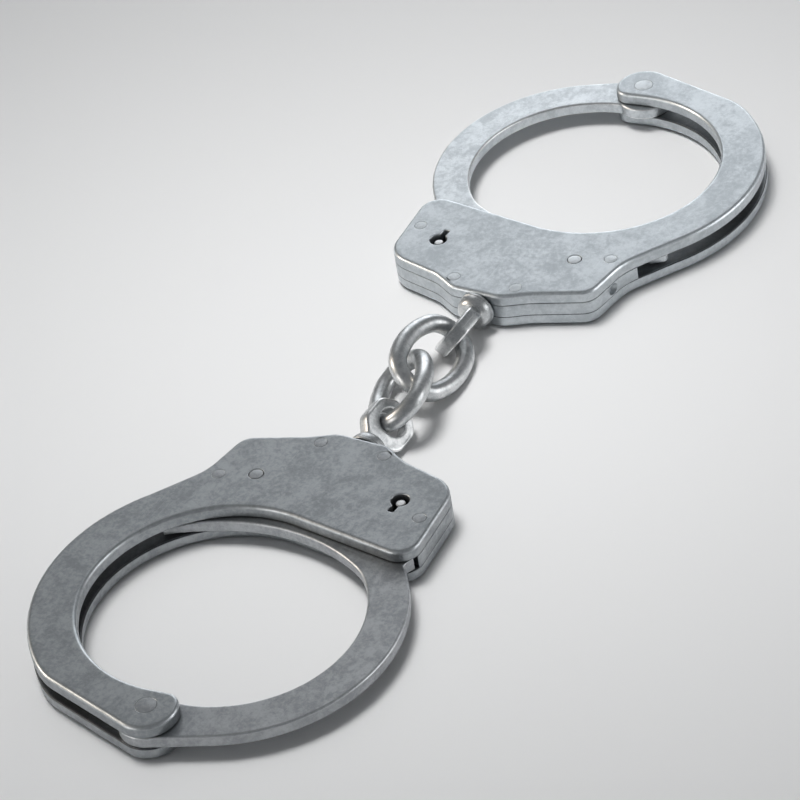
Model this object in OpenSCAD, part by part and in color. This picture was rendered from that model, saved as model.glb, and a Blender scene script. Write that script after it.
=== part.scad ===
// A pair of double-lock chain handcuffs with swing-through arms, lying flat and closed.
// Each cuff: two cheek plates and a lock frame between them, a toothed arm on a rivet, a pawl
// with its leaf spring, a double-lock bar, a key post, and a swivel eye. Two links join the eyes.

/* [Cuff case] */
// Inner radius of the cheeks, where the wrist sits
wrist_r = 27; // [26.5:0.1:27.2]
// Outer radius of the cheeks along the bow
bow_r = 37; // [36.8:0.1:37.4]
// Thickness of each cheek plate
plate_t = 2.75; // [2.6:0.05:3]
// Thickness of the lock frame between the cheeks
frame_t = 2.9; // [2.8:0.05:3.2]
// Radius of a cheek's corner at the wrist mouth
mouth_r = 4.5; // [3.5:0.1:5]

/* [Arm] */
// Thickness of the toothed arm
arm_t = 2.7; // [2.5:0.05:2.7]
// Radius of the knuckle that turns on the arm rivet
knuckle_r = 6.2; // [6:0.1:6.3]
// Radius of the arm rivet
arm_rivet_r = 2.15; // [2:0.05:2.3]
// Number of ratchet teeth
tooth_count = 22; // [18:1:22]
// Angle from one tooth to the next, about the rivet
tooth_pitch = 2.2; // [2.2:0.01:2.21]
// Height of a ratchet tooth
tooth_h = 1.5; // [1.3:0.05:1.5]

/* [Lock] */
// Angle that the pawl is swung clear of the teeth
pawl_lift = 7.5; // [7:0.1:7.6]
// Radius of the pawl rivet
pawl_rivet_r = 1.5; // [1.3:0.05:1.6]
// Radius of the case rivets
case_rivet_r = 1.42; // [1.2:0.01:1.5]
// Radius of the keyhole in the top cheek
keyhole_r = 1.95; // [1.9:0.01:2.1]
// Radius of the key post's free end
post_r = 1.05; // [1:0.01:1.1]
// Radius of the hole for the double-lock push pin
push_hole_r = 0.8; // [0.7:0.01:0.9]

/* [Chain] */
// Radius of the swivel's neck
neck_r = 2.2; // [2.1:0.01:2.3]
// Radius of the swivel's flange
flange_r = 4.1; // [3.8:0.1:4.1]
// Thickness of the swivel's eye
eye_t = 3.2; // [3:0.1:3.2]
// Half width of the swivel's eye
eye_r = 5.4; // [5.3:0.1:5.4]
// Radius of the hole in the swivel's eye
eye_hole_r = 3.2; // [3.2:0.01:3.25]
// Radius of the wire that the links are bent from
wire_r = 2; // [1.95:0.01:2]
// Radius of a link's rounder ends, at the middle of its wire
link_end_r = 5.85; // [5.84:0.01:5.86]
// Height of the cases above the floor, where the swivels' eyes touch it
case_lift = 0.5; // [0.45:0.01:0.6]

/* [Hidden] */

// Fineness of outlines: degrees of arc from one point to the next
arc_step = 3;
// Fineness of round holes and pins
$fn = 64;
// How far a cutting shape runs past the face that it cuts
over = 1;
// Radial gaps: of a turning fit, of the swivel's neck, and of a rivet in a cheek
turn_gap = 0.06;
neck_gap = 0.08;
rivet_gap = 0.03;

// Layers of a case, from the floor up
z_frame = plate_t;
z_top = plate_t + frame_t;
case_t = 2 * plate_t + frame_t;
z_mid = case_t / 2;
z_arm = z_mid - arm_t / 2;

// Places in a cuff, whose origin is the middle of the wrist opening, at the floor
arm_pivot = [-14.4, -28];
pawl_pivot = [11.6, 35.5];
key_place = [39.8, 19];
key_slot_to = [37.2, 15.8];
case_rivet_places = [[3.9, 37.7], [25.6, 42], [38.1, 33.9], [43, 12.4]];
swivel_place = [34.1, 41];
chain_angle = 54;
// Middle of the chain, about which the second cuff is the first turned half a turn
chain_middle = [48.87, 62.72];

// Arm outline: the bow's circles and the ratchet, whose teeth lie about the rivet
bow_centre = [4.3, -3.2];
bow_out_r = 34.4;
bow_in_r = 26;
back_centre = [-7.8, -13.7];
back_r = 40.9;
blend_r = 14;
root_r = 61.8;
tip_r = root_r + tooth_h;
nose_r = 63.9;
first_tooth = 30.1;
// Circle about the rivet that clears the whole arm
channel_r = 64.3;

// Lock slot: where its line meets the edge, and the line's direction
slot_start = [4.6, 43.1];
slot_angle = -15;

function polar(centre, r, a) = centre + r * [cos(a), sin(a)];
function unit(v) = v / norm(v);
// Points on an arc about a centre, from angle a0 to angle a1
function arc(centre, r, a0, a1) =
    let (n = max(1, ceil(abs(a1 - a0) / arc_step)))
    [for (i = [0:n]) polar(centre, r, a0 + (a1 - a0) * i / n)];
function bearing(from, to) = atan2(to[1] - from[1], to[0] - from[0]);
// The turn from angle a0 to angle a1 the short way round
function short_turn(a0, a1) = ((a1 - a0 + 540) % 360) - 180;
// Corner b of an outline that comes from a and goes on to c, rounded with radius r
function rounded(a, b, c, r) =
    let (
        u = unit(a - b),
        v = unit(c - b),
        half = acos(u * v) / 2,
        centre = b + unit(u + v) * r / sin(half),
        a0 = bearing(centre, b + u * r / tan(half)),
        a1 = bearing(centre, b + v * r / tan(half))
    )
    arc(centre, r, a0, a0 + short_turn(a0, a1));
// An outline through corners [x, y, radius], without its first and last
function path(corners) =
    [for (i = [1:len(corners) - 2])
        let (
            a = [corners[i - 1][0], corners[i - 1][1]],
            b = [corners[i][0], corners[i][1]],
            c = [corners[i + 1][0], corners[i + 1][1]]
        )
        each rounded(a, b, c, corners[i][2])];
// Where two circles cross, on the left of the line from the first centre to the second
function crossing(c0, r0, c1, r1) =
    let (
        d = norm(c1 - c0),
        along = (d * d + r0 * r0 - r1 * r1) / (2 * d),
        u = (c1 - c0) / d
    )
    c0 + u * along + [-u[1], u[0]] * sqrt(r0 * r0 - along * along);
function corner(p) = [p[0], p[1], 0];

// Outline of a cheek: wrist arc, mouth, the lock's corners, bow, and the boss for the arm rivet
wrist_from = 240;
wrist_to = 46;
bow_from = 107;
bow_to = 198;
boss_r = 6.4;
boss_from = 220.5;
boss_to = 352;
lock_corners = [
    corner(polar([0, 0], wrist_r, wrist_to)),
    [39.5, 0.56, mouth_r], [51.67, 20.5, 7], [42, 31.5, 10], [39.28, 37.24, 3],
    [29.57, 44.29, 6], [23.5, 45, 20], [10, 48.6, 4.4], [1.5, 40, 14],
    corner(polar([0, 0], bow_r, bow_from))
];
tail_corners = [
    corner(polar([0, 0], bow_r, bow_to)), [-33.9, -14.6, 12],
    corner(polar(arm_pivot, boss_r, boss_from))
];
throat_corners = [
    corner(polar(arm_pivot, boss_r, boss_to)), [-8.2, -26.4, 3.2],
    corner(polar([0, 0], wrist_r, wrist_from))
];
function cheek_outline() = concat(
    arc([0, 0], wrist_r, wrist_from, wrist_to), path(lock_corners),
    arc([0, 0], bow_r, bow_from, bow_to), path(tail_corners),
    arc(arm_pivot, boss_r, boss_from, boss_to), path(throat_corners)
);

// Outline of the arm: knuckle, outer bow, teeth, notch, nose, and the inner bow back
knuckle_from = 19.6;
bow_out_from = 257.8;
bow_out_to = 369;
notch_to = 80.6;
nose_to = 85.1;
nose_corner_r = 1.2;
back_from = 91.5;
bow_in_to = -119.4;
blend_centre = crossing(bow_centre, bow_in_r - blend_r, back_centre, back_r - blend_r);
back_to = bearing(back_centre, blend_centre);
blend_to = bearing(bow_centre, blend_centre);
tooth_land = tooth_pitch / 4;
function tooth_angle(k) = first_tooth + k * tooth_pitch;
nose_corners = [
    corner(polar(arm_pivot, root_r, tooth_angle(tooth_count))),
    corner(polar(arm_pivot, root_r, notch_to)),
    concat(polar(arm_pivot, nose_r, notch_to), nose_corner_r),
    concat(polar(arm_pivot, nose_r, nose_to), nose_corner_r),
    corner(polar(back_centre, back_r, back_from))
];
function teeth() = [
    for (k = [0:tooth_count - 1])
        let (a = tooth_angle(k))
        each [
            polar(arm_pivot, root_r, a),
            polar(arm_pivot, tip_r, a),
            polar(arm_pivot, tip_r, a + tooth_land)
        ]
];
function arm_outline() = concat(
    arc(arm_pivot, knuckle_r, knuckle_from, bow_out_from),
    arc(bow_centre, bow_out_r, bow_out_from, bow_out_to),
    teeth(),
    [polar(arm_pivot, root_r, tooth_angle(tooth_count)), polar(arm_pivot, root_r, notch_to)],
    path([for (i = [1:4]) nose_corners[i]]),
    arc(back_centre, back_r, back_from, back_to),
    arc(blend_centre, blend_r, back_to, blend_to),
    arc(bow_centre, bow_in_r, blend_to, bow_in_to)
);
// The nose thins to nose_t over the last stretch before its tip
nose_t = 1.3;
taper_angle = 80.5;
taper_from = -4.5;
taper_to = 6;

// Pawl, given in radius and angle about the arm rivet where it is engaged with the teeth
pawl_knuckle_r = 3;
pawl_in_r = 63.6;
pawl_tooth_r = root_r + 0.25;
tooth_gap = 0.12;
pawl_teeth = [8, 9, 10];
pawl_back = [[67.4, 66], [67.4, 46.6], [68.6, 44.8], [68.6, 42.6]];
pawl_front = [[67.1, 42.6], [66.4, 44.8], [pawl_in_r, 46.2]];
pawl_root = [[pawl_in_r, 56], [64.2, 60], [65.9, 66.4]];
function about_rivet(points) = [for (p = points) polar(arm_pivot, p[0], p[1])];
// A pawl tooth fills the space before arm tooth k, with a gap all round
gap_angle = tooth_gap / root_r * 180 / PI;
function pawl_tooth(k) =
    let (a = tooth_angle(k) - gap_angle)
    [[pawl_in_r, a - 0.75 * tooth_pitch], [pawl_tooth_r, a], [pawl_in_r, a]];
function pawl_outline() = about_rivet(concat(
    pawl_back, pawl_front, [for (k = pawl_teeth) each pawl_tooth(k)], pawl_root
));

// Room in the lock frame for the pawl, its spring, the key and the double-lock bar
pocket_in_r = channel_r - 0.3;
pocket_mid_r = 68.6;
pocket_out_r = 72.6;
pocket_from = 42;
pocket_to = 65;
pocket_end = 67.7;
pawl_room_r = pawl_knuckle_r + 0.4;
key_room_r = 5.4;
slot_from = 5.2;
slot_to = 20.5;
slot_half = 1.45;
leg_room = [12.5, 18.5];
leg_room_deep = 5;
frame_left = -1.5;
push_face = 0.8;
push_face_r = 1.3;
function sector(r0, r1, a0, a1) = concat(arc(arm_pivot, r1, a0, a1), arc(arm_pivot, r0, a1, a0));

// Double-lock bar, along its slot, and its leg
bar_from = 5.5;
bar_to = 17.5;
bar_half = 1.3;
leg_from = 13;
leg_to = 15.5;
leg_deep = 6.3;

// Leaf spring: a strip from its anchor towards the pawl's tail
leaf_t = 0.4;
leaf_from = 60;
leaf_from_r = 71.6;
leaf_to = 48.5;
leaf_to_r = 71;
anchor_out_r = 73.2;
anchor_half = 0.25;
anchor_gap = 0.06;

// Key post's base, in the bottom cheek, and the keyhole's slot; groove round the pawl rivet
post_base_r = 1.5;
key_slot_half = 0.7;
key_slot_long = 3.8;
post_top = 7.7;
groove_r = 1.89;
groove_deep = 0.4;

// Swivel, along its line from the case's edge
head_r = 3.2;
head_in = [2.5, 5.2];
head_room_r = 3.5;
head_room = [2.2, 5.4];
neck_out = 0.35;
flange_to = 1.1;
dome_to = 3.4;
dome_top_r = 2.5;
eye_dome_half = 2.6;
eye_tip = 15.3;
eye_tip_half = 2.5;
eye_hole_at = 10.2;
eye_bevel = 0.9;
eye_spin_a = 50;
eye_spin_b = 51.5;

// From the middle of a link's side arc to that of its end arc: 44 and 117 of 125, for exact joins
link_step = 0.11;
link_run = 44 * link_step;
link_rise = 117 * link_step;

// Poses of the two links: middle, and turns about x, y and z
link_a_pose = [[-6.82, 1.28, 6.2], [-35, 6.8, 27.2]];
link_b_pose = [[5.05, 0.33, 6.59], [41.3, 6.7, 2.3]];

module outline(points, h) {
    linear_extrude(h) polygon(points);
}

// A case's own frame: x along its slot, or along its swivel, from a place on its edge
module along_slot() {
    translate([slot_start[0], slot_start[1], z_mid]) rotate([0, 0, slot_angle]) children();
}

module along_swivel() {
    translate([swivel_place[0], swivel_place[1], z_mid]) rotate([0, 0, chain_angle]) children();
}

// A round bar along x, from x0 to x1
module x_bar(r, x0, x1) {
    translate([x0, 0, 0]) rotate([0, 90, 0]) cylinder(h = x1 - x0, r = r);
}

// Room that the swivel's head and neck take out of the case
module swivel_room() {
    along_swivel() {
        x_bar(head_room_r, -head_room[1], -head_room[0]);
        x_bar(neck_r + neck_gap, -head_room[0] - over, over * 2);
    }
}

module rivet_holes(z0, h) {
    for (p = case_rivet_places)
        translate([p[0], p[1], z0]) cylinder(h = h, r = case_rivet_r + rivet_gap);
}

module hole_at(p, r, z0, h) {
    translate([p[0], p[1], z0]) cylinder(h = h, r = r);
}

// One cheek with its rivet holes and the room for the swivel
module cheek(z0) {
    difference() {
        translate([0, 0, z0]) outline(cheek_outline(), plate_t);
        rivet_holes(z0 - over, plate_t + 2 * over);
        hole_at(arm_pivot, arm_rivet_r + rivet_gap, z0 - over, plate_t + 2 * over);
        hole_at(pawl_pivot, pawl_rivet_r + rivet_gap, z0 - over, plate_t + 2 * over);
        swivel_room();
    }
}

module bottom_cheek() {
    color("lightslategray") difference() {
        cheek(0);
        hole_at(key_place, post_base_r + rivet_gap, -over, plate_t + 2 * over);
    }
}

module top_cheek() {
    slot_turn = bearing(key_place, key_slot_to);
    color("lightslategray") difference() {
        cheek(z_top);
        hole_at(key_place, keyhole_r, z_top - over, plate_t + 2 * over);
        translate([key_place[0], key_place[1], z_top - over]) rotate([0, 0, slot_turn])
            translate([0, -key_slot_half, 0])
                cube([key_slot_long, 2 * key_slot_half, plate_t + 2 * over]);
        hole_at(pawl_pivot, groove_r, case_t - groove_deep, over);
    }
}

module lock_frame() {
    color("slategray") difference() {
        translate([0, 0, z_frame]) outline(cheek_outline(), frame_t);
        translate([0, 0, z_frame - over]) {
            hole_at(arm_pivot, channel_r, 0, frame_t + 2 * over);
            translate([frame_left - 2 * bow_r, -2 * bow_r, 0])
                cube([2 * bow_r, 4 * bow_r, frame_t + 2 * over]);
            outline(sector(pocket_in_r, pocket_mid_r, pocket_from, pocket_end), frame_t + 2 * over);
            outline(sector(pocket_in_r, pocket_out_r, pocket_from, pocket_to), frame_t + 2 * over);
            outline(sector(pocket_out_r - over, anchor_out_r + anchor_gap, leaf_from - anchor_half,
                leaf_from + anchor_half), frame_t + 2 * over);
            hole_at(pawl_pivot, pawl_room_r, 0, frame_t + 2 * over);
            hole_at(key_place, key_room_r, 0, frame_t + 2 * over);
        }
        along_slot() {
            translate([slot_from, -slot_half, -frame_t])
                cube([slot_to - slot_from, 2 * slot_half, 2 * frame_t]);
            translate([leg_room[0], -slot_half - leg_room_deep, -frame_t])
                cube([leg_room[1] - leg_room[0], leg_room_deep + slot_half, 2 * frame_t]);
            x_bar(push_hole_r, -over, slot_from + over);
            x_bar(push_face_r, -2 * over, push_face);
        }
        rivet_holes(z_frame - over, frame_t + 2 * over);
        swivel_room();
    }
}

module case_rivets() {
    color("silver") for (p = case_rivet_places) hole_at(p, case_rivet_r, 0, case_t);
}

module arm_rivet() {
    color("silver") hole_at(arm_pivot, arm_rivet_r, 0, case_t);
}

module pawl_rivet() {
    color("silver") hole_at(pawl_pivot, pawl_rivet_r, 0, case_t);
}

module key_post() {
    color("silver") {
        hole_at(key_place, post_base_r, 0, z_frame);
        hole_at(key_place, post_r, z_frame, post_top - z_frame);
    }
}

// A wedge that takes the arm's nose down to half of nose_t on one face
module nose_wedge() {
    profile = [
        [taper_from, arm_t / 2], [taper_to, nose_t / 2], [taper_to, arm_t], [taper_from, arm_t]
    ];
    rotate([90, 0, 90]) linear_extrude(nose_r + over) polygon(profile);
}

module ratchet_arm() {
    color("gray") difference() {
        translate([0, 0, z_arm]) outline(arm_outline(), arm_t);
        hole_at(arm_pivot, arm_rivet_r + turn_gap, z_arm - over, arm_t + 2 * over);
        translate([arm_pivot[0], arm_pivot[1], z_mid]) rotate([0, 0, taper_angle]) {
            nose_wedge();
            mirror([0, 0, 1]) nose_wedge();
        }
    }
}

module pawl() {
    color("dimgray") translate([pawl_pivot[0], pawl_pivot[1], z_arm]) difference() {
        rotate([0, 0, pawl_lift]) {
            translate([-pawl_pivot[0], -pawl_pivot[1], 0]) outline(pawl_outline(), arm_t);
            cylinder(h = arm_t, r = pawl_knuckle_r);
        }
        translate([0, 0, -over]) cylinder(h = arm_t + 2 * over, r = pawl_rivet_r + turn_gap);
    }
}

module pawl_spring() {
    n = 6;
    span = leaf_to - leaf_from;
    function leaf(k, half) = polar(
        arm_pivot, leaf_from_r + (leaf_to_r - leaf_from_r) * k / n + half, leaf_from + span * k / n
    );
    strip = concat(
        [for (k = [n:-1:0]) leaf(k, leaf_t / 2)], [for (k = [0:n]) leaf(k, -leaf_t / 2)]
    );
    anchor = sector(leaf_from_r, anchor_out_r, leaf_from - anchor_half + anchor_gap,
        leaf_from + anchor_half - anchor_gap);
    color("goldenrod") translate([0, 0, z_arm]) union() {
        outline(strip, arm_t);
        outline(anchor, arm_t);
    }
}

module lock_bar() {
    color("darkgray") along_slot() translate([0, 0, -arm_t / 2]) union() {
        translate([bar_from, -bar_half, 0]) cube([bar_to - bar_from, 2 * bar_half, arm_t]);
        translate([leg_from, -leg_deep, 0]) cube([leg_to - leg_from, leg_deep, arm_t]);
    }
}

// Outline of the eye: from the dome, round the hole, and back, as mirrored halves
function eye_outline() =
    let (
        half = path([
            [1, eye_dome_half, 0], [3.4, eye_dome_half, 1.5], [6.4, eye_r, 3], [12.6, eye_r, 3],
            [eye_tip, eye_tip_half, 3], [eye_tip, 0, 0]
        ])
    )
    concat(
        [[1, eye_dome_half]], half,
        [for (i = [len(half) - 1:-1:0]) [half[i][0], -half[i][1]]], [[1, -eye_dome_half]]
    );

module swivel_eye() {
    bevelled = [
        [eye_r - eye_bevel, eye_t / 2], [-eye_r + eye_bevel, eye_t / 2],
        [-eye_r, eye_t / 2 - eye_bevel], [-eye_r, -eye_t / 2 + eye_bevel],
        [-eye_r + eye_bevel, -eye_t / 2], [eye_r - eye_bevel, -eye_t / 2],
        [eye_r, -eye_t / 2 + eye_bevel], [eye_r, eye_t / 2 - eye_bevel]
    ];
    intersection() {
        translate([0, 0, -eye_t / 2]) outline(eye_outline(), eye_t);
        rotate([90, 0, 90]) linear_extrude(eye_tip + over) polygon(bevelled);
    }
}

// Turned part of the swivel: head, neck, flange and dome, by radius and place on its line
module swivel_stem() {
    dome = [for (i = [0:8]) let (t = i / 8)
        [dome_top_r + (flange_r - dome_top_r) * sqrt(1 - t * t),
            flange_to + (dome_to - flange_to) * t]];
    profile = concat(
        [
            [0, -head_in[1]], [head_r, -head_in[1]], [head_r, -head_in[0]], [neck_r, -head_in[0]],
            [neck_r, neck_out], [flange_r, neck_out]
        ],
        dome, [[0, dome_to]]
    );
    rotate([0, 90, 0]) rotate_extrude() polygon(profile);
}

module swivel(spin) {
    color("lightsteelblue") along_swivel() rotate([spin, 0, 0]) difference() {
        union() {
            swivel_stem();
            swivel_eye();
        }
        translate([eye_hole_at, 0, -eye_t]) cylinder(h = 2 * eye_t, r = eye_hole_r);
    }
}

// The part of a ring of wire that lies within a flat shape
module ring_part(centre, r, shape) {
    intersection() {
        translate([centre[0], centre[1], 0]) rotate_extrude() translate([r, 0]) circle(r = wire_r);
        translate([0, 0, -wire_r - over]) outline(shape, 2 * (wire_r + over));
    }
}

// A link: an oval of two end arcs and two flatter side arcs, with its length along x
module link() {
    reach = 3 * [link_run, link_rise];
    side_r = link_end_r + norm([link_run, link_rise]);
    color("silver") union() {
        for (turn = [0, 180]) rotate([0, 0, turn]) {
            ring_part([0, -link_rise], side_r, [
                [0, -link_rise], [reach[0], reach[1] - link_rise], [-reach[0], reach[1] - link_rise]
            ]);
            ring_part([link_run, 0], link_end_r, [
                [link_run, 0], [reach[0], link_rise - reach[1]], [2 * reach[0], 0],
                [reach[0], reach[1] - link_rise]
            ]);
        }
    }
}

module place_link(pose) {
    translate(pose[0]) rotate(pose[1]) link();
}

// Each cuff in the whole object's frame: the chain along x, its middle at the origin
module cuff_a() {
    rotate([0, 0, -chain_angle]) translate([-chain_middle[0], -chain_middle[1], case_lift]) children();
}

module cuff_b() {
    rotate([0, 0, 180]) cuff_a() children();
}

cuff_a() top_cheek();  // top_cheek_a
cuff_a() bottom_cheek();  // bottom_cheek_a
cuff_a() lock_frame();  // lock_frame_a
cuff_a() case_rivets();  // case_rivets_a
cuff_a() arm_rivet();  // arm_rivet_a
cuff_a() ratchet_arm();  // ratchet_arm_a
cuff_a() pawl();  // pawl_a
cuff_a() pawl_rivet();  // pawl_rivet_a
cuff_a() pawl_spring();  // pawl_spring_a
cuff_a() lock_bar();  // lock_bar_a
cuff_a() key_post();  // key_post_a
cuff_a() swivel(eye_spin_a);  // swivel_a
place_link(link_a_pose);  // link_a
cuff_b() top_cheek();  // top_cheek_b
cuff_b() bottom_cheek();  // bottom_cheek_b
cuff_b() lock_frame();  // lock_frame_b
cuff_b() case_rivets();  // case_rivets_b
cuff_b() arm_rivet();  // arm_rivet_b
cuff_b() ratchet_arm();  // ratchet_arm_b
cuff_b() pawl();  // pawl_b
cuff_b() pawl_rivet();  // pawl_rivet_b
cuff_b() pawl_spring();  // pawl_spring_b
cuff_b() lock_bar();  // lock_bar_b
cuff_b() key_post();  // key_post_b
cuff_b() swivel(eye_spin_b);  // swivel_b
place_link(link_b_pose);  // link_b
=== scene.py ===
import math

import bmesh
import bpy
from mathutils import Matrix, Vector
from mathutils.geometry import tessellate_polygon


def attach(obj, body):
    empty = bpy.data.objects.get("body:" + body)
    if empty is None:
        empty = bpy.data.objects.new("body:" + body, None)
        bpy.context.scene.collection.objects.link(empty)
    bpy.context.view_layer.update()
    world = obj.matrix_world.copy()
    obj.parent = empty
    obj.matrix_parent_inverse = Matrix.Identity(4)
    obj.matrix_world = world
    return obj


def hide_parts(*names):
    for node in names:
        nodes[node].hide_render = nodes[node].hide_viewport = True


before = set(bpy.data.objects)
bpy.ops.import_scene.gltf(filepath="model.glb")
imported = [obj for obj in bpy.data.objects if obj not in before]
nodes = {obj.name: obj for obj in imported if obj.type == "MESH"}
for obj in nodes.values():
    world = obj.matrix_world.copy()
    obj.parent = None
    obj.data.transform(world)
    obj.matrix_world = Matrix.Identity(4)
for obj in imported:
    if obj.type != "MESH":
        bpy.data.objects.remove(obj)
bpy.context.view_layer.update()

# ---------------------------------------------------------------- sizes, in mm, as in the CAD
PLATE_T = 2.75
FRAME_T = 2.9
ARM_T = 2.7
CASE_T = 2 * PLATE_T + FRAME_T
LIFT = 0.5
Z_MID = CASE_T / 2
WRIST_R, WRIST_FROM, WRIST_TO = 27, 240, 46
BOW_R, BOW_FROM, BOW_TO = 37, 107, 198
BOSS_R, BOSS_FROM, BOSS_TO = 6.4, 220.5, 352
MOUTH_R = 4.5
CASE_RIVET_R, ARM_RIVET_R, PAWL_RIVET_R = 1.42, 2.15, 1.5
RIVET_GAP = 0.01
POST_FOOT_R, POST_R, POST_TOP = 1.5, 1.05, 7.7
CHAIN_ANGLE = 54.0
CHAIN_MIDDLE = (48.87, 62.72)
ARM_PIVOT = (-14.4, -28.0)
PAWL_PIVOT = (11.6, 35.5)
KEY_PLACE = (39.8, 19.0)
KEY_SLOT_TO = (37.2, 15.8)
RIVETS = [(3.9, 37.7), (25.6, 42.0), (38.1, 33.9), (43.0, 12.4)]
SWIVEL_PLACE = (34.1, 41.0)
SWIVEL_SPIN = {"a": 50.0, "b": 51.5}
# Middle of each link, and its turns about x, y and z
LINK_POSES = {
    "a": ((-6.82, 1.28, 6.2), (-35, 6.8, 27.2)),
    "b": ((5.05, 0.33, 6.59), (41.3, 6.7, 2.3)),
}
# Degrees of arc from one point of an outline to the next
STEP = 1.5
# Points nearer than this are one point
SAME = 0.02


# ---------------------------------------------------------------- outlines
def polar(c, r, a):
    a = math.radians(a)
    return (c[0] + r * math.cos(a), c[1] + r * math.sin(a))


def arc(c, r, a0, a1, step=STEP):
    n = max(2, math.ceil(abs(a1 - a0) / step))
    return [polar(c, r, a0 + (a1 - a0) * i / n) for i in range(n + 1)]


def bearing(a, b):
    return math.degrees(math.atan2(b[1] - a[1], b[0] - a[0]))


def rounded(a, b, c, r, step=4.0):
    """Corner b of an outline that comes from a and goes on to c, rounded with radius r."""
    u = Vector((a[0] - b[0], a[1] - b[1])).normalized()
    v = Vector((c[0] - b[0], c[1] - b[1])).normalized()
    half = math.acos(max(-1.0, min(1.0, u.dot(v)))) / 2
    w = (u + v).normalized() * (r / math.sin(half))
    centre = (b[0] + w.x, b[1] + w.y)
    t = r / math.tan(half)
    a0 = bearing(centre, (b[0] + u.x * t, b[1] + u.y * t))
    a1 = bearing(centre, (b[0] + v.x * t, b[1] + v.y * t))
    turn = (a1 - a0 + 540) % 360 - 180
    return arc(centre, r, a0, a0 + turn, step)


def path(corners):
    out = []
    for a, b, c in zip(corners, corners[1:], corners[2:]):
        out += rounded(a, b, c, b[2])
    return out


def corner(p):
    return (p[0], p[1], 0.0)


def clean(points):
    """The closed outline without repeated points; each may carry more after its x and y."""
    out = []
    for p in points:
        if not out or math.dist(p[:2], out[-1][:2]) > SAME:
            out.append(p)
    if math.dist(out[0][:2], out[-1][:2]) <= SAME:
        out.pop()
    return out


def evened(points, step):
    """The closed outline with its points a constant distance apart."""
    pts = clean(points)
    n = len(pts)
    lengths = [math.dist(pts[i], pts[(i + 1) % n]) for i in range(n)]
    total = sum(lengths)
    count = round(total / step)
    out, i, run = [], 0, 0.0
    for k in range(count):
        want = total * k / count
        while run + lengths[i] < want:
            run += lengths[i]
            i += 1
        f = (want - run) / lengths[i]
        a, b = pts[i], pts[(i + 1) % n]
        out.append((a[0] + (b[0] - a[0]) * f, a[1] + (b[1] - a[1]) * f))
    return out


def circle(c, r, n=64):
    """A hole's outline, clockwise."""
    return [polar(c, r, -360.0 * i / n) for i in range(n)]


def cheek_outline():
    middle = (0, 0)
    lock = [
        corner(polar(middle, WRIST_R, WRIST_TO)), (39.5, 0.56, MOUTH_R), (51.67, 20.5, 7), (42, 31.5, 10),
        (39.28, 37.24, 3), (29.57, 44.29, 6), (23.5, 45, 20), (10, 48.6, 4.4), (1.5, 40, 14),
        corner(polar(middle, BOW_R, BOW_FROM)),
    ]
    tail = [
        corner(polar(middle, BOW_R, BOW_TO)), (-33.9, -14.6, 12),
        corner(polar(ARM_PIVOT, BOSS_R, BOSS_FROM)),
    ]
    throat = [
        corner(polar(ARM_PIVOT, BOSS_R, BOSS_TO)), (-8.2, -26.4, 3.2),
        corner(polar(middle, WRIST_R, WRIST_FROM)),
    ]
    return (
        arc(middle, WRIST_R, WRIST_FROM, WRIST_TO) + path(lock)
        + arc(middle, BOW_R, BOW_FROM, BOW_TO) + path(tail)
        + arc(ARM_PIVOT, BOSS_R, BOSS_FROM, BOSS_TO) + path(throat)
    )


def crossing(c0, r0, c1, r1):
    """Where two circles cross, on the left of the line from the first centre to the second."""
    d = math.dist(c0, c1)
    along = (d * d + r0 * r0 - r1 * r1) / (2 * d)
    u = ((c1[0] - c0[0]) / d, (c1[1] - c0[1]) / d)
    h = math.sqrt(r0 * r0 - along * along)
    return (c0[0] + u[0] * along - u[1] * h, c0[1] + u[1] * along + u[0] * h)


ROOT_R, TOOTH_H, TEETH, FIRST_TOOTH, PITCH = 61.8, 1.5, 22, 30.1, 2.2
NOSE_R, NOSE_ROUND, NOSE_FROM, NOSE_TO = 63.9, 1.2, 80.6, 85.1
KNUCKLE_R = 6.2


def arm_outline():
    """The arm's outline, and for each of its points how much of the edge rounding it takes."""
    bow, bow_out, bow_in = (4.3, -3.2), 34.4, 26.0
    back, back_r, blend_r = (-7.8, -13.7), 40.9, 14.0
    knuckle_from, bow_from, bow_to, bow_in_to, back_from = 19.6, 257.8, 369, -119.4, 91.5
    blend = crossing(bow, bow_in - blend_r, back, back_r - blend_r)
    back_to, blend_to = bearing(back, blend), bearing(bow, blend)
    smooth = arc(ARM_PIVOT, KNUCKLE_R, knuckle_from, bow_from) + arc(bow, bow_out, bow_from, bow_to)
    teeth = []
    for k in range(TEETH):
        a = FIRST_TOOTH + k * PITCH
        teeth += [polar(ARM_PIVOT, ROOT_R, a), polar(ARM_PIVOT, ROOT_R + TOOTH_H, a)]
        teeth += [polar(ARM_PIVOT, ROOT_R + TOOTH_H, a + PITCH / 4)]
    last = FIRST_TOOTH + TEETH * PITCH
    notch = [polar(ARM_PIVOT, ROOT_R, last + (NOSE_FROM - last) * t / 3) for t in range(4)]
    nose = path([
        corner(notch[-1]), (*polar(ARM_PIVOT, NOSE_R, NOSE_FROM), NOSE_ROUND),
        (*polar(ARM_PIVOT, NOSE_R, NOSE_TO), NOSE_ROUND), corner(polar(back, back_r, back_from)),
    ])
    rest = arc(back, back_r, back_from, back_to) + arc(blend, blend_r, back_to, blend_to)
    rest += arc(bow, bow_in, blend_to, bow_in_to)
    points = smooth + teeth + notch + nose + rest
    share = [1.0] * len(smooth) + [0.25] * (len(teeth) + len(notch)) + [0.6] * len(nose)
    share += [1.0] * len(rest)
    kept = clean([(*p, s) for p, s in zip(points, share)])
    return [p[:2] for p in kept], [p[2] for p in kept]


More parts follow.
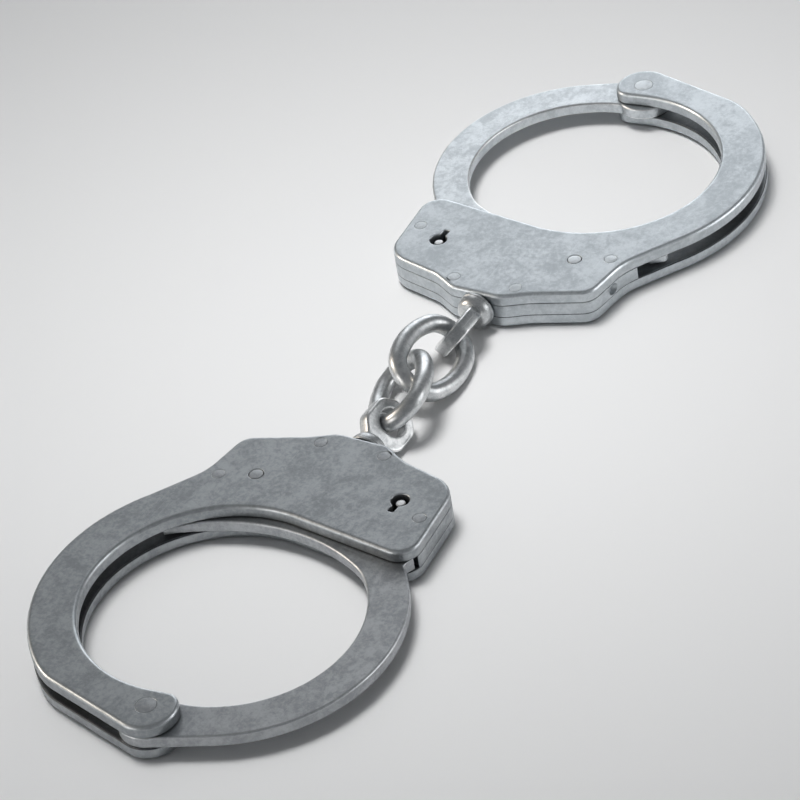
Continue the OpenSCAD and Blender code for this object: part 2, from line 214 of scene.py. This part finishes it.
def keyhole():
    """The keyhole's outline, clockwise: a round hole with a slot to one side."""
    turn = bearing(KEY_PLACE, KEY_SLOT_TO)
    r, half, long = 1.95, 0.7, 3.8
    open_at = math.degrees(math.asin(half / r))
    local = [(long - 0.25, half), (long, half - 0.25), (long, 0.25 - half), (long - 0.25, -half)]
    local += arc((0, 0), r, -open_at, open_at - 360, 5)
    a = math.radians(turn)
    return [
        (KEY_PLACE[0] + x * math.cos(a) - y * math.sin(a),
         KEY_PLACE[1] + x * math.sin(a) + y * math.cos(a))
        for x, y in local
    ]


# ---------------------------------------------------------------- meshes, in mm
SEAM_R = 0.25


def inward(points):
    """Direction into the material at each point, for an outline with its material on its left."""
    n = len(points)
    out = []
    for i in range(n):
        a, b, c = points[i - 1], points[i], points[(i + 1) % n]
        u = Vector((b[0] - a[0], b[1] - a[1])).normalized()
        v = Vector((c[0] - b[0], c[1] - b[1])).normalized()
        m = Vector((-u.y - v.y, u.x + v.x))
        m = m.normalized() if m.length > 1e-6 else Vector((-u.y, u.x))
        out.append(m * min(1.5, 1.0 / max(0.35, m.dot(Vector((-u.y, u.x))))))
    return out


def edge_profile(z0, z1, r0, r1, hold, power, steps=6):
    """(inset, z, rise, rim, upper) from the lower face, over two rounded edges, to the upper.

    An edge as wide as a seam is marked for painted shade, and so is a face inside it; other edges
    are marked for rubbed wear and a painted highlight. A power of 1 draws a round edge, and above 1 one
    nearer to a flat bevel."""
    gap_face_shade = [-0.6 if abs(r - SEAM_R) < 0.01 else 0.0 for r in (r0, r1)]
    out = [(r0 + hold, z0, 0.0, gap_face_shade[0], False)]
    for r, z, side in ((r0, z0, 1), (r1, z1, -1)):
        # +1 marks an edge lightened as rubbed wear and painted highlight, -1 a seam darkened as painted
        # shade
        wear_and_sheen = -1.0 if abs(r - SEAM_R) < 0.01 else 1.0
        for k in range(steps + 1):
            a = math.pi / 2 * (1 - k / steps if side > 0 else k / steps)
            x, y = math.cos(a) ** power, math.sin(a) ** power
            out.append((r * (1 - x), z, side * r * (1 - y), wear_and_sheen * math.sin(2 * a), side < 0))
    out.append((r1 + hold, z1, 0.0, gap_face_shade[1], True))
    return out


def rounded_plate(loops, z0, z1, power=1.0):
    """A plate with rounded edges. loops: (points, share or None, lower radius, upper radius)."""
    bm = bmesh.new()
    rim = bm.verts.layers.float.new("rim")
    low, high = [], []
    for points, share, r0, r1 in loops:
        aim = inward(points)
        share = share or [1.0] * len(points)
        rings = []
        for inset, z, rise, wear_and_sheen, upper in edge_profile(z0, z1, r0, r1, min(0.35, r0 + r1), power):
            ring = []
            for p, m, s in zip(points, aim, share):
                s = s[upper] if isinstance(s, tuple) else s
                v = bm.verts.new((p[0] + m.x * inset * s, p[1] + m.y * inset * s, z + rise * s))
                v[rim] = wear_and_sheen
                ring.append(v)
            rings.append(ring)
        n = len(points)
        for lower, upper in zip(rings, rings[1:]):
            for i in range(n):
                j = (i + 1) % n
                bm.faces.new((lower[i], lower[j], upper[j], upper[i]))
        low.append(rings[0])
        high.append(rings[-1])
    for side in (low, high):
        flat = [v for ring in side for v in ring]
        for tri in tessellate_polygon([[v.co for v in ring] for ring in side]):
            try:
                bm.faces.new([flat[i] for i in tri])
            except ValueError:
                continue
    bmesh.ops.recalc_face_normals(bm, faces=bm.faces)
    return bm


def lathe(profile, steps=64):
    """A turned body about x: profile is (radius, x) from one end to the other."""
    bm = bmesh.new()
    bm.verts.layers.float.new("rim")
    rings = []
    for r, x in profile:
        if r < 1e-6:
            rings.append([bm.verts.new((x, 0, 0))])
            continue
        rings.append([
            bm.verts.new((x, r * math.cos(2 * math.pi * k / steps), r * math.sin(2 * math.pi * k / steps)))
            for k in range(steps)
        ])
    for a, b in zip(rings, rings[1:]):
        for k in range(steps):
            j = (k + 1) % steps
            quad = [a[k % len(a)], a[j % len(a)], b[j % len(b)], b[k % len(b)]]
            kept = []
            for v in quad:
                if v not in kept:
                    kept.append(v)
            if len(kept) > 2:
                bm.faces.new(kept)
    bmesh.ops.recalc_face_normals(bm, faces=bm.faces)
    return bm


def eased(corners, n=5):
    """A lathe profile from corners (radius, x, rounding)."""
    pts = [corners[0][:2]]
    for a, b, c in zip(corners, corners[1:], corners[2:]):
        if b[2] <= 0:
            pts.append(b[:2])
        else:
            pts += rounded(a, b, c, b[2], 90 / n)
    pts.append(corners[-1][:2])
    return pts


def cuff_matrix(cuff):
    """From a cuff's own frame to the whole object's, in mm."""
    turn = Matrix.Rotation(math.radians(-CHAIN_ANGLE), 4, "Z")
    move = Matrix.Translation((-CHAIN_MIDDLE[0], -CHAIN_MIDDLE[1], LIFT))
    m = turn @ move
    return m if cuff == "a" else Matrix.Rotation(math.pi, 4, "Z") @ m


def swivel_matrix(cuff):
    """From a swivel's own frame, x along its line, to the whole object's, in mm."""
    place = Matrix.Translation((SWIVEL_PLACE[0], SWIVEL_PLACE[1], Z_MID))
    turn = Matrix.Rotation(math.radians(CHAIN_ANGLE), 4, "Z")
    return cuff_matrix(cuff) @ place @ turn @ Matrix.Rotation(math.radians(SWIVEL_SPIN[cuff]), 4, "X")


SHARP = math.radians(50)


def make(name, bm, matrix, body, node, material):
    """Turns a mesh in mm into a piece in metres that stands for a CAD node."""
    mesh = bpy.data.meshes.new(name)
    bmesh.ops.transform(bm, matrix=Matrix.Scale(0.001, 4) @ matrix, verts=bm.verts)
    bm.normal_update()
    bm.to_mesh(mesh)
    bm.free()
    mesh.polygons.foreach_set("use_smooth", [True] * len(mesh.polygons))
    mesh.set_sharp_from_angle(angle=SHARP)
    piece = bpy.data.objects.new(name, mesh)
    bpy.context.scene.collection.objects.link(piece)
    mesh.materials.append(material)
    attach(piece, body)
    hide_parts(node)


# ---------------------------------------------------------------- materials
def steel(name, dark, light, rough=(0.40, 0.50), cloud=170.0, fleck=900.0, shift=(0, 0, 0),
          rim=1.6, scratch=0.3, dent=0.3):
    """Worn steel: clouded and mottled colour, fine scratches, edges lightened partly as rubbed wear and
    partly as a painted highlight, and seams darkened as painted shade.
    """
    mat = bpy.data.materials.new(name)
    mat.use_nodes = True
    nt = mat.node_tree
    nt.nodes.clear()

    def node(kind, **values):
        n = nt.nodes.new(kind)
        for key, value in values.items():
            setattr(n, key, value)
        return n

    def link(a, b):
        nt.links.new(a, b)

    def noise(vector, scale, detail, roughness, distortion=0.0):
        n = node("ShaderNodeTexNoise")
        n.inputs["Scale"].default_value = scale
        n.inputs["Detail"].default_value = detail
        n.inputs["Roughness"].default_value = roughness
        n.inputs["Distortion"].default_value = distortion
        link(vector, n.inputs["Vector"])
        return n.outputs["Fac"]

    def span(value, a, b, c=0.0, d=1.0):
        n = node("ShaderNodeMapRange")
        n.interpolation_type = "SMOOTHSTEP"
        for key, x in zip(("From Min", "From Max", "To Min", "To Max"), (a, b, c, d)):
            n.inputs[key].default_value = x
        link(value, n.inputs["Value"])
        return n.outputs["Result"]

    def feed(socket, x):
        if isinstance(x, float):
            socket.default_value = x
        elif isinstance(x, tuple):
            socket.default_value = (*x, 1.0)
        else:
            link(x, socket)

    def maths(kind, a, b):
        n = node("ShaderNodeMath", operation=kind)
        feed(n.inputs[0], a)
        feed(n.inputs[1], b)
        return n.outputs[0]

    def mix(fac, a, b):
        n = node("ShaderNodeMix", data_type="RGBA")
        feed(n.inputs["Factor"], fac)
        feed(n.inputs["A"], a)
        feed(n.inputs["B"], b)
        return n.outputs["Result"]

    def scaled(factor, rgb):
        return tuple(min(1.0, factor * x) for x in rgb)

    def stretched(angle, along, across):
        n = node("ShaderNodeMapping")
        n.inputs["Location"].default_value = shift
        n.inputs["Rotation"].default_value = (0, 0, math.radians(angle))
        n.inputs["Scale"].default_value = (along, across, across)
        link(where.outputs["Object"], n.inputs["Vector"])
        return n.outputs["Vector"]

    where = node("ShaderNodeTexCoord")
    base = stretched(0, 1, 1)
    clouds = noise(base, cloud, 6, 0.62, 0.6)
    mottle = noise(base, fleck, 5, 0.68, 0.3)
    grain = noise(base, 3200.0, 3, 0.6)
    patch = maths("ADD", maths("MULTIPLY", clouds, 0.5), maths("MULTIPLY", mottle, 0.5))
    tone = span(patch, 0.40, 0.60)
    colour = mix(tone, dark, light)
    fine = mix(span(grain, 0.3, 0.7), scaled(0.90, dark), scaled(1.06, light))
    colour = mix(0.16, colour, fine)

    lines = None
    for angle, scale in ((12, 1.0), (-58, 0.8), (74, 1.2)):
        fine_lines = noise(stretched(angle, 45 * scale, 2600 * scale), 1.0, 2, 0.5)
        where_seen = span(noise(stretched(angle + 30, 90, 90), 1.0, 2, 0.5), 0.48, 0.66)
        seen = maths("MULTIPLY", span(fine_lines, 0.66, 0.74), where_seen)
        lines = seen if lines is None else maths("MAXIMUM", lines, seen)
    colour = mix(maths("MULTIPLY", lines, scratch), colour, scaled(1.35, light))

    # The rim attribute and the rim factor lighten rounded edges: partly rubbed wear, partly a painted
    # highlight of light gleaming on the rounding.
    edge = node("ShaderNodeAttribute", attribute_name="rim")
    broken = span(noise(base, 700.0, 4, 0.7), 0.30, 0.58, 0.45, 1.0)
    wear_and_sheen = maths("MULTIPLY", maths("MAXIMUM", edge.outputs["Fac"], 0.0), broken)
    colour = mix(maths("MULTIPLY", wear_and_sheen, 0.75), colour, scaled(rim, light))

    # Seams between plates, and the faces inside them, darkened towards near-black: painted shade in the
    # gaps between the layers.
    seam = maths("MULTIPLY", maths("MAXIMUM", maths("MULTIPLY", edge.outputs["Fac"], -1.0), 0.0), 0.9)
    colour = mix(seam, colour, (0.03, 0.03, 0.032))

    rough_now = span(patch, 0.34, 0.66, rough[1], rough[0])
    rough_now = maths("SUBTRACT", rough_now, maths("MULTIPLY", wear_and_sheen, 0.08))
    rough_now = maths("ADD", rough_now, maths("MULTIPLY", lines, 0.06))

    height = maths("ADD", maths("MULTIPLY", mottle, 0.6), maths("MULTIPLY", grain, 0.12))
    height = maths("SUBTRACT", height, maths("MULTIPLY", lines, 0.25))
    bump = node("ShaderNodeBump")
    bump.inputs["Strength"].default_value = dent
    bump.inputs["Distance"].default_value = 0.00012
    link(height, bump.inputs["Height"])

    shader = node("ShaderNodeBsdfPrincipled")
    shader.inputs["Metallic"].default_value = 1.0
    link(colour, shader.inputs["Base Color"])
    link(rough_now, shader.inputs["Roughness"])
    link(bump.outputs["Normal"], shader.inputs["Normal"])
    out = node("ShaderNodeOutputMaterial")
    link(shader.outputs["BSDF"], out.inputs["Surface"])
    return mat


# Each cuff's pieces take their own copy of one steel: the near cuff (a) is darker as painted shade and the
# far cuff (b) lighter as painted light, for how the light falls on each.
MATS = {
    "cuff_a": steel("cuff_steel_dark", (0.28, 0.30, 0.315), (0.39, 0.41, 0.425)),
    "cuff_b": steel("cuff_steel_light", (0.44, 0.475, 0.50), (0.55, 0.585, 0.61), shift=(0.3, 0.1, 0)),
    "arm_a": steel("arm_steel_near_shaded", (0.31, 0.325, 0.34), (0.43, 0.445, 0.46), shift=(0.7, 0.2, 0)),
    "arm_b": steel("arm_steel_far_lit", (0.50, 0.535, 0.56), (0.66, 0.695, 0.72), shift=(0.9, 0.4, 0)),
    "lock": steel("lock_steel", (0.16, 0.165, 0.17), (0.24, 0.245, 0.25), rough=(0.45, 0.6)),
    "rivet_a": steel("rivet_steel_near_shaded", (0.29, 0.305, 0.32), (0.39, 0.405, 0.42)),
    "rivet_b": steel("rivet_steel_far_lit", (0.47, 0.50, 0.52), (0.56, 0.59, 0.61)),
    "chain": steel("polished_steel", (0.45, 0.47, 0.48), (0.70, 0.71, 0.715), rough=(0.32, 0.42),
                   cloud=160.0, fleck=800.0, dent=0.2),
    "post": steel("post_steel", (0.60, 0.61, 0.62), (0.75, 0.76, 0.77), rough=(0.25, 0.35),
                  fleck=1500.0),
    "spring": steel("spring_steel", (0.36, 0.31, 0.24), (0.50, 0.45, 0.36), fleck=1500.0),
}


# ---------------------------------------------------------------- cuffs
CHEEK = evened(cheek_outline(), 0.5)
ARM_POINTS, ARM_SHARE = arm_outline()
EDGE_R = 0.8
PIN_EDGE = 0.09
PAWL_RING_EDGE = 0.14
# The arm's tip thins to TIP_T across TIP_RUN, from TIP_BACK behind the direction TIP_TURN
TIP_TURN, TIP_BACK, TIP_RUN, TIP_T = 80.5, 4.5, 10.5, 1.3


def cheek(z0, lower, upper, top):
    """A cheek plate with its holes; the top one has the keyhole, the bottom one the post's."""
    loops = [(CHEEK, None, lower, upper)]
    for p in RIVETS:
        loops.append((circle(p, CASE_RIVET_R + RIVET_GAP, 48), None, PIN_EDGE, PIN_EDGE))
    loops.append((circle(ARM_PIVOT, ARM_RIVET_R + RIVET_GAP), None, PIN_EDGE, PIN_EDGE))
    if top:
        loops.append((circle(PAWL_PIVOT, PAWL_RIVET_R + 0.12, 48), None, PIN_EDGE, PAWL_RING_EDGE))
        loops.append((keyhole(), None, 0.1, 0.22))
    else:
        loops.append((circle(PAWL_PIVOT, PAWL_RIVET_R + 0.03, 48), None, PIN_EDGE, PIN_EDGE))
        loops.append((circle(KEY_PLACE, POST_FOOT_R + 0.03, 48), None, PIN_EDGE, PIN_EDGE))
    return rounded_plate(loops, z0, z0 + PLATE_T)


def arm():
    """The toothed arm, with its tip thinned."""
    loops = [(ARM_POINTS, ARM_SHARE, 0.45, 0.45), (circle(ARM_PIVOT, ARM_RIVET_R + 0.06), None, 0.1, 0.1)]
    bm = rounded_plate(loops, Z_MID - ARM_T / 2, Z_MID + ARM_T / 2)
    turn = Matrix.Rotation(math.radians(TIP_TURN), 4, "Z")
    local = (Matrix.Translation((*ARM_PIVOT, Z_MID)) @ turn).inverted()
    y_axis = turn @ Vector((0, 1, 0))
    start = Vector((*ARM_PIVOT, Z_MID)) - TIP_BACK * y_axis
    geom = bm.verts[:] + bm.edges[:] + bm.faces[:]
    bmesh.ops.bisect_plane(bm, geom=geom, dist=1e-5, plane_co=start, plane_no=y_axis)
    for v in bm.verts:
        p = local @ v.co
        if p.x > 20 and p.y > -TIP_BACK:
            thick = 1 - (1 - TIP_T / ARM_T) * (p.y + TIP_BACK) / TIP_RUN
            v.co.z = Z_MID + (v.co.z - Z_MID) * thick
    return bm


def pin(place, r, z0, z1, edge=0.08):
    """A rivet or post from z0 to z1, turned up out of the lathe's x."""
    bm = lathe(eased([(0, z0, 0), (r, z0, edge), (r, z1, edge), (0, z1, 0)]), 48)
    up = Matrix(((0, 1, 0, place[0]), (0, 0, 1, place[1]), (1, 0, 0, 0), (0, 0, 0, 1)))
    bmesh.ops.transform(bm, matrix=up, verts=bm.verts)
    return bm


def joined(parts):
    """Several meshes in one, emptying the rest."""
    whole = parts[0]
    for other in parts[1:]:
        spare = bpy.data.meshes.new("spare")
        other.to_mesh(spare)
        other.free()
        whole.from_mesh(spare)
        bpy.data.meshes.remove(spare)
    return whole


def from_cad(node, bevel):
    """A CAD node's shape with its flat faces whole and its edges eased, back in mm."""
    bm = bmesh.new()
    bm.from_mesh(nodes[node].data)
    bmesh.ops.transform(bm, matrix=Matrix.Scale(1000, 4), verts=bm.verts)
    bmesh.ops.remove_doubles(bm, verts=bm.verts, dist=0.002)
    bmesh.ops.dissolve_limit(bm, angle_limit=math.radians(1), verts=bm.verts, edges=bm.edges)
    edges = [e for e in bm.edges if len(e.link_faces) == 2 and e.calc_face_angle() > math.radians(35)]
    bmesh.ops.bevel(bm, geom=edges, offset=bevel, segments=2, profile=0.5, affect="EDGES",
                    clamp_overlap=True)
    return bm


# Half of the eye's outline, from the stem to the far end: x, y and rounding
EYE_HALF = [
    (1, 2.6, 0), (3.4, 2.6, 1.5), (6.4, 5.4, 3), (12.6, 5.4, 3), (15.3, 2.5, 3), (15.3, 0, 0),
]
EYE_HOLE, EYE_HOLE_R, EYE_T = (10.2, 0), 3.2, 3.2


def swivel():
    """The swivel in its own frame: a turned stem with a rounded eye."""
    dome = [(2.3 + 1.72 * math.cos(math.radians(a)), 1.15 + 2.45 * math.sin(math.radians(a)))
            for a in range(0, 91, 6)]
    stem = lathe(eased([
        (0, -5.2, 0), (3.2, -5.2, 0.3), (3.2, -2.5, 0.3), (2.2, -2.5, 0.2), (2.2, 0.35, 0),
        (4.1, 0.35, 0.25), (4.1, 1.0, 0.2), (3.9, 1.08, 0),
    ]) + dome + [(0, 3.6)], 72)
    half = path(EYE_HALF)
    outer = [(1.0, 2.6)] + half + [(x, -y) for x, y in reversed(half)] + [(1.0, -2.6)]
    outer = evened(list(reversed(outer)), 0.35)
    # The lower face's edge takes all its rounding on the side turned to the floor, less elsewhere
    share = [(1.0 - 0.6 * max(0.0, min(1.0, (y + 4.5) / 3.0)), 1.0) for x, y in outer]
    eye = rounded_plate(
        [(outer, share, 0.95, 0.4), (circle(EYE_HOLE, EYE_HOLE_R), None, 0.3, 0.3)],
        -EYE_T / 2, EYE_T / 2, 1.4
    )
    return joined([stem, eye])


LINK_END_R, LINK_RUN, LINK_RISE, WIRE_R = 5.85, 44 * 0.11, 117 * 0.11, 2.0


def link_path():
    """The middle of a link's wire: two end arcs and two side arcs."""
    side_r = LINK_END_R + math.hypot(LINK_RUN, LINK_RISE)
    join = math.degrees(math.atan2(LINK_RISE, LINK_RUN))
    pts = arc((LINK_RUN, 0), LINK_END_R, -join, join)
    pts += arc((0, -LINK_RISE), side_r, join, 180 - join)
    pts += arc((-LINK_RUN, 0), LINK_END_R, 180 - join, 180 + join)
    pts += arc((0, LINK_RISE), side_r, 180 + join, 360 - join)
    return evened(pts, 0.35)


def link():
    """A forged link: round wire bent to an oval."""
    bm = bmesh.new()
    bm.verts.layers.float.new("rim")
    pts = link_path()
    rings = []
    around = 28
    for p, m in zip(pts, inward(pts)):
        m = m.normalized()
        ring = []
        for k in range(around):
            a = 2 * math.pi * k / around
            d = WIRE_R * math.cos(a)
            ring.append(bm.verts.new((p[0] + m.x * d, p[1] + m.y * d, WIRE_R * math.sin(a))))
        rings.append(ring)
    for i in range(len(rings)):
        a, b = rings[i - 1], rings[i]
        for k in range(around):
            j = (k + 1) % around
            bm.faces.new((a[k], a[j], b[j], b[k]))
    bmesh.ops.recalc_face_normals(bm, faces=bm.faces)
    return bm


def link_matrix(centre, turns):
    """From a link's own frame to the whole object's, in mm."""
    m = Matrix.Translation(centre)
    for axis, t in zip("ZYX", reversed(turns)):
        m = m @ Matrix.Rotation(math.radians(t), 4, axis)
    return m


def build_cuff(c):
    at = cuff_matrix(c)
    case, tint, rivet = f"case_{c}", MATS[f"cuff_{c}"], MATS[f"rivet_{c}"]
    make(f"cheek_top_{c}", cheek(PLATE_T + FRAME_T, SEAM_R, EDGE_R, True), at, case,
         f"top_cheek_{c}", tint)
    make(f"cheek_bottom_{c}", cheek(0, EDGE_R, SEAM_R, False), at, case,
         f"bottom_cheek_{c}", tint)
    make(f"middle_layer_{c}", from_cad(f"lock_frame_{c}", 0.22), Matrix.Identity(4), case,
         f"lock_frame_{c}", tint)
    make(f"toothed_arm_{c}", arm(), at, f"arm_{c}", f"ratchet_arm_{c}",
         MATS[f"arm_{c}"])
    heads = joined([pin(p, CASE_RIVET_R, 0, CASE_T) for p in RIVETS])
    make(f"rivet_heads_{c}", heads, at, case, f"case_rivets_{c}", rivet)
    make(f"arm_pin_{c}", pin(ARM_PIVOT, ARM_RIVET_R, 0, CASE_T), at, case, f"arm_rivet_{c}",
         rivet)
    pawl_pin = pin(PAWL_PIVOT, PAWL_RIVET_R, 0, CASE_T, PAWL_RING_EDGE)
    make(f"pawl_pin_{c}", pawl_pin, at, case, f"pawl_rivet_{c}", rivet)
    post = joined([
        pin(KEY_PLACE, POST_FOOT_R, 0, PLATE_T), pin(KEY_PLACE, POST_R, PLATE_T, POST_TOP, 0.3),
    ])
    make(f"key_pin_{c}", post, at, case, f"key_post_{c}", MATS["post"])
    make(f"swivel_eye_{c}", swivel(), swivel_matrix(c), f"swivel_{c}", f"swivel_{c}",
         MATS["chain"])
    for n, key in (("pawl", "lock"), ("lock_bar", "lock"), ("pawl_spring", "spring")):
        mesh = nodes[f"{n}_{c}"].data
        mesh.materials.clear()
        mesh.materials.append(MATS[key])


for cuff in "ab":
    build_cuff(cuff)
for name, pose in LINK_POSES.items():
    make(f"chain_link_{name}", link(), link_matrix(*pose), f"link_{name}", f"link_{name}",
         MATS["chain"])


# ---------------------------------------------------------------- floor, light and camera
def floor():
    size, n = 4.0, 8
    bm = bmesh.new()
    bmesh.ops.create_grid(bm, x_segments=n, y_segments=n, size=size / 2)
    mesh = bpy.data.meshes.new("studio_floor")
    bm.to_mesh(mesh)
    bm.free()
    mat = bpy.data.materials.new("floor_paper")
    mat.use_nodes = True
    nt = mat.node_tree
    shader = nt.nodes["Principled BSDF"]
    shader.inputs["Roughness"].default_value = 0.9
    shader.inputs["Specular IOR Level"].default_value = 0.1
    noise = nt.nodes.new("ShaderNodeTexNoise")
    noise.inputs["Scale"].default_value = 3.0
    ramp = nt.nodes.new("ShaderNodeMapRange")
    ramp.inputs["To Min"].default_value = 0.79
    ramp.inputs["To Max"].default_value = 0.81
    tint = nt.nodes.new("ShaderNodeCombineColor")
    nt.links.new(noise.outputs["Fac"], ramp.inputs["Value"])
    for channel in ("Red", "Green", "Blue"):
        nt.links.new(ramp.outputs["Result"], tint.inputs[channel])
    nt.links.new(tint.outputs["Color"], shader.inputs["Base Color"])
    mesh.materials.append(mat)
    obj = bpy.data.objects.new("studio_floor", mesh)
    bpy.context.scene.collection.objects.link(obj)


floor()

# The camera: its place in metres, its angles, and its lens in mm
CAMERA_PLACE = Vector((-0.45617, -0.32457, 0.4327))
LOOK_DOWN = math.radians(37.690)
ROLL = math.radians(10.098)
AZIMUTH = math.radians(36.0)
LENS = 149.27985
level_ahead = Vector((math.cos(AZIMUTH), math.sin(AZIMUTH), 0))
level_right = Vector((math.sin(AZIMUTH), -math.cos(AZIMUTH), 0))
forward = level_ahead * math.cos(LOOK_DOWN) + Vector((0, 0, -math.sin(LOOK_DOWN)))
level_up = level_right.cross(forward)
right = math.cos(ROLL) * level_right - math.sin(ROLL) * level_up
up = math.sin(ROLL) * level_right + math.cos(ROLL) * level_up


def add_light(name, kind, place, aim, energy, colour, lights, **values):
    """A light that shows either on the floor only or as a gleam on the metal only."""
    data = bpy.data.lights.new(name, kind)
    data.energy = energy
    data.color = colour
    for key, value in values.items():
        setattr(data, key, value)
    obj = bpy.data.objects.new(name, data)
    obj.location = place
    obj.rotation_euler = (Vector(aim) - Vector(place)).to_track_quat("-Z", "Y").to_euler()
    obj.visible_glossy = lights == "metal"
    obj.visible_diffuse = lights == "floor"
    bpy.context.scene.collection.objects.link(obj)


def spot_at(rightward, ahead, height):
    """A place given from the middle: to the right, away from the viewer, and above the floor."""
    return level_right * rightward + level_ahead * ahead + Vector((0, 0, height))


add_light("overhead", "AREA", spot_at(-0.15, 0.3, 0.9), (0, 0, 0), 1.32, (1, 1, 1), "floor",
          shape="DISK", size=1.0)
add_light("pool", "SPOT", spot_at(-0.12, 0.12, 0.95), spot_at(0.01, 0.02, 0), 38.0, (1, 1, 1),
          "floor", shadow_soft_size=0.2, spot_size=math.radians(31), spot_blend=1.0)
add_light("key", "AREA", spot_at(-0.9, 0.25, 0.42), (0, 0, 0), 3.2, (1.0, 0.88, 0.74), "metal",
          shape="DISK", size=0.35)
add_light("back", "AREA", spot_at(0.3, 1.5, 0.42), (0, 0, 0), 5.6, (0.94, 0.97, 1.0), "metal",
          shape="DISK", size=1.0)
add_light("right_side", "AREA", spot_at(0.9, -0.15, 0.22), (0, 0, 0), 2.2, (1, 1, 1), "metal",
          shape="DISK", size=0.6)
add_light("left_side", "AREA", spot_at(-0.8, -0.45, 0.16), (0, 0, 0), 1.6, (1, 0.96, 0.92),
          "metal", shape="DISK", size=0.5)
add_light("top_back", "AREA", spot_at(0.0, 1.3, 1.1), (0, 0, 0), 1.2, (1, 1, 1), "metal",
          shape="DISK", size=0.9)

world = bpy.data.worlds.new("studio")
bpy.context.scene.world = world
world.use_nodes = True
world.node_tree.nodes["Background"].inputs["Color"].default_value = (0.62, 0.64, 0.66, 1)
world.node_tree.nodes["Background"].inputs["Strength"].default_value = 0.33

cam_data = bpy.data.cameras.new("camera")
cam_data.sensor_width = 36.0
cam_data.lens = LENS
cam_data.clip_start = 0.01
cam_data.clip_end = 20.0
camera = bpy.data.objects.new("camera", cam_data)
facing = Matrix((right, up, -forward)).transposed()
camera.matrix_world = Matrix.Translation(CAMERA_PLACE) @ facing.to_4x4()
bpy.context.scene.collection.objects.link(camera)
bpy.context.scene.camera = camera
bpy.context.scene.view_settings.view_transform = "Standard"
